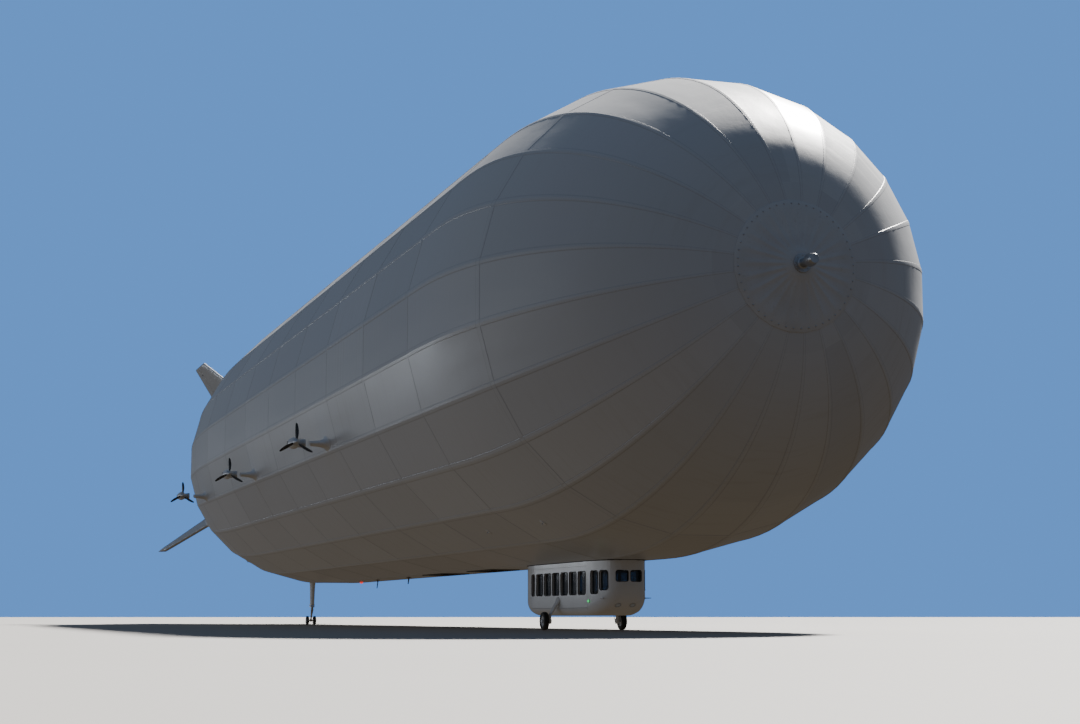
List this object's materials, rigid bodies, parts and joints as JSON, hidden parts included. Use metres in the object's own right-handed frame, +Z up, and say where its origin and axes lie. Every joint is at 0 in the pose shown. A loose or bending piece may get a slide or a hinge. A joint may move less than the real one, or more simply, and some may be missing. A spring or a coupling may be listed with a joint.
{
  "type": "rigid airship, 1:10 scale model",
  "caption": "Long rigid airship on its landing gear, with a slatted belly, X tail fins with rudders, a glazed gondola under the bow and tilting motor pods on its flanks.",
  "frame": {"origin": "on the ground under the hull's axis, midway between the mooring probe's tip and the end of the tail cone", "axes": "+X to the nose, +Y to port, +Z up"},
  "size_m": [12.48, 2.3874, 2.2914],
  "materials": {
    "hull_skin": "taut coated laminate, satin",
    "shell_white": "white satin paint",
    "dark_panel": "matt",
    "glass": "tinted, polished",
    "carbon": "satin",
    "steel": "brushed",
    "tyre": "matt",
    "seat_fabric": "woven"
  },
  "bodies": {
    "hull": {"envelope": "hull_skin", "nose_cap": "shell_white", "mooring_probe": "steel", "tail_cone": "shell_white", "belly_vent_front": "dark_panel", "belly_vent_rear": "dark_panel", "fin_lower_starboard": "hull_skin", "fin_upper_starboard": "hull_skin", "fin_upper_port": "hull_skin", "fin_lower_port": "hull_skin", "pylon_port_1": "shell_white", "pylon_port_2": "shell_white", "pylon_port_3": "shell_white", "pylon_starboard_1": "shell_white", "pylon_starboard_2": "shell_white", "pylon_starboard_3": "shell_white", "gondola_nose": "shell_white", "gondola_tail": "shell_white", "gondola_floor": "shell_white", "gondola_roof": "shell_white", "gondola_wall_starboard": "shell_white", "gondola_wall_port": "shell_white", "windows_port": "glass", "window_port_rear": "glass", "windows_starboard": "glass", "windshield": "glass", "cabin_seats": "seat_fabric", "instrument_console": "dark_panel", "main_leg_port": "steel", "main_leg_starboard": "steel", "aft_mast": "shell_white"},
    "rudder_lower_starboard": {"rudder_lower_starboard": "hull_skin"},
    "rudder_upper_starboard": {"rudder_upper_starboard": "hull_skin"},
    "rudder_upper_port": {"rudder_upper_port": "hull_skin"},
    "rudder_lower_port": {"rudder_lower_port": "hull_skin"},
    "nacelle_port_1": {"nacelle_port_1": "shell_white"},
    "nacelle_port_2": {"nacelle_port_2": "shell_white"},
    "nacelle_port_3": {"nacelle_port_3": "shell_white"},
    "nacelle_starboard_1": {"nacelle_starboard_1": "shell_white"},
    "nacelle_starboard_2": {"nacelle_starboard_2": "shell_white"},
    "nacelle_starboard_3": {"nacelle_starboard_3": "shell_white"},
    "propeller_port_1": {"propeller_port_1": "carbon"},
    "propeller_port_2": {"propeller_port_2": "carbon"},
    "propeller_port_3": {"propeller_port_3": "carbon"},
    "propeller_starboard_1": {"propeller_starboard_1": "carbon"},
    "propeller_starboard_2": {"propeller_starboard_2": "carbon"},
    "propeller_starboard_3": {"propeller_starboard_3": "carbon"},
    "door": {"gondola_door": "shell_white", "door_window": "glass"},
    "main_wheel_port": {"main_wheel_port": "tyre"},
    "main_wheel_starboard": {"main_wheel_starboard": "tyre"},
    "aft_fork": {"aft_fork": "steel"},
    "aft_wheels": {"aft_wheels": "tyre"}
  },
  "joints": [
    {"name": "rudder_lower_starboard_hinge", "type": "hinge", "parent": "hull", "child": "rudder_lower_starboard", "pos_m": [-4.49, 0, 1.3], "axis": [0, -0.8192, -0.5736], "range_deg": [-25, 25]},
    {"name": "rudder_upper_starboard_hinge", "type": "hinge", "parent": "hull", "child": "rudder_upper_starboard", "pos_m": [-4.49, 0, 1.3], "axis": [0, -0.5736, 0.8192], "range_deg": [-25, 25]},
    {"name": "rudder_upper_port_hinge", "type": "hinge", "parent": "hull", "child": "rudder_upper_port", "pos_m": [-4.49, 0, 1.3], "axis": [0, 0.5736, 0.8192], "range_deg": [-25, 25]},
    {"name": "rudder_lower_port_hinge", "type": "hinge", "parent": "hull", "child": "rudder_lower_port", "pos_m": [-4.49, 0, 1.3], "axis": [0, 0.8192, -0.5736], "range_deg": [-25, 25]},
    {"name": "nacelle_port_1_tilt", "type": "hinge", "parent": "hull", "child": "nacelle_port_1", "pos_m": [2.41, 1.105, 0.95798], "axis": [0, -1, 0], "range_deg": [-90, 90]},
    {"name": "propeller_port_1_spin", "type": "hinge", "parent": "nacelle_port_1", "child": "propeller_port_1", "pos_m": [2.41, 1.105, 0.95798], "axis": [1, 0, 0], "continuous": true},
    {"name": "nacelle_port_2_tilt", "type": "hinge", "parent": "hull", "child": "nacelle_port_2", "pos_m": [0.16, 1.105, 0.95798], "axis": [0, -1, 0], "range_deg": [-90, 90]},
    {"name": "propeller_port_2_spin", "type": "hinge", "parent": "nacelle_port_2", "child": "propeller_port_2", "pos_m": [0.16, 1.105, 0.95798], "axis": [1, 0, 0], "continuous": true},
    {"name": "nacelle_port_3_tilt", "type": "hinge", "parent": "hull", "child": "nacelle_port_3", "pos_m": [-2.09, 1.105, 0.95798], "axis": [0, -1, 0], "range_deg": [-90, 90]},
    {"name": "propeller_port_3_spin", "type": "hinge", "parent": "nacelle_port_3", "child": "propeller_port_3", "pos_m": [-2.09, 1.105, 0.95798], "axis": [1, 0, 0], "continuous": true},
    {"name": "nacelle_starboard_1_tilt", "type": "hinge", "parent": "hull", "child": "nacelle_starboard_1", "pos_m": [2.41, -1.105, 0.95798], "axis": [0, -1, 0], "range_deg": [-90, 90]},
    {"name": "propeller_starboard_1_spin", "type": "hinge", "parent": "nacelle_starboard_1", "child": "propeller_starboard_1", "pos_m": [2.41, -1.105, 0.95798], "axis": [1, 0, 0], "continuous": true},
    {"name": "nacelle_starboard_2_tilt", "type": "hinge", "parent": "hull", "child": "nacelle_starboard_2", "pos_m": [0.16, -1.105, 0.95798], "axis": [0, -1, 0], "range_deg": [-90, 90]},
    {"name": "propeller_starboard_2_spin", "type": "hinge", "parent": "nacelle_starboard_2", "child": "propeller_starboard_2", "pos_m": [0.16, -1.105, 0.95798], "axis": [1, 0, 0], "continuous": true},
    {"name": "nacelle_starboard_3_tilt", "type": "hinge", "parent": "hull", "child": "nacelle_starboard_3", "pos_m": [-2.09, -1.105, 0.95798], "axis": [0, -1, 0], "range_deg": [-90, 90]},
    {"name": "propeller_starboard_3_spin", "type": "hinge", "parent": "nacelle_starboard_3", "child": "propeller_starboard_3", "pos_m": [-2.09, -1.105, 0.95798], "axis": [1, 0, 0], "continuous": true},
    {"name": "door_hinge", "type": "hinge", "parent": "hull", "child": "door", "pos_m": [3.604, 0.132, 0.19], "axis": [0, 0, -1], "range_deg": [0, 100]},
    {"name": "main_wheel_port_spin", "type": "hinge", "parent": "hull", "child": "main_wheel_port", "pos_m": [3.81, 0.19, 0.04174], "axis": [0, 1, 0], "continuous": true},
    {"name": "main_wheel_starboard_spin", "type": "hinge", "parent": "hull", "child": "main_wheel_starboard", "pos_m": [3.81, -0.19, 0.04174], "axis": [0, 1, 0], "continuous": true},
    {"name": "aft_fork_caster", "type": "hinge", "parent": "hull", "child": "aft_fork", "pos_m": [-2.59, 0, 0.15], "axis": [0, 0, 1], "continuous": true},
    {"name": "aft_wheels_spin", "type": "hinge", "parent": "aft_fork", "child": "aft_wheels", "pos_m": [-2.624, 0, 0.03379], "axis": [0, 1, 0], "continuous": true}
  ]
}
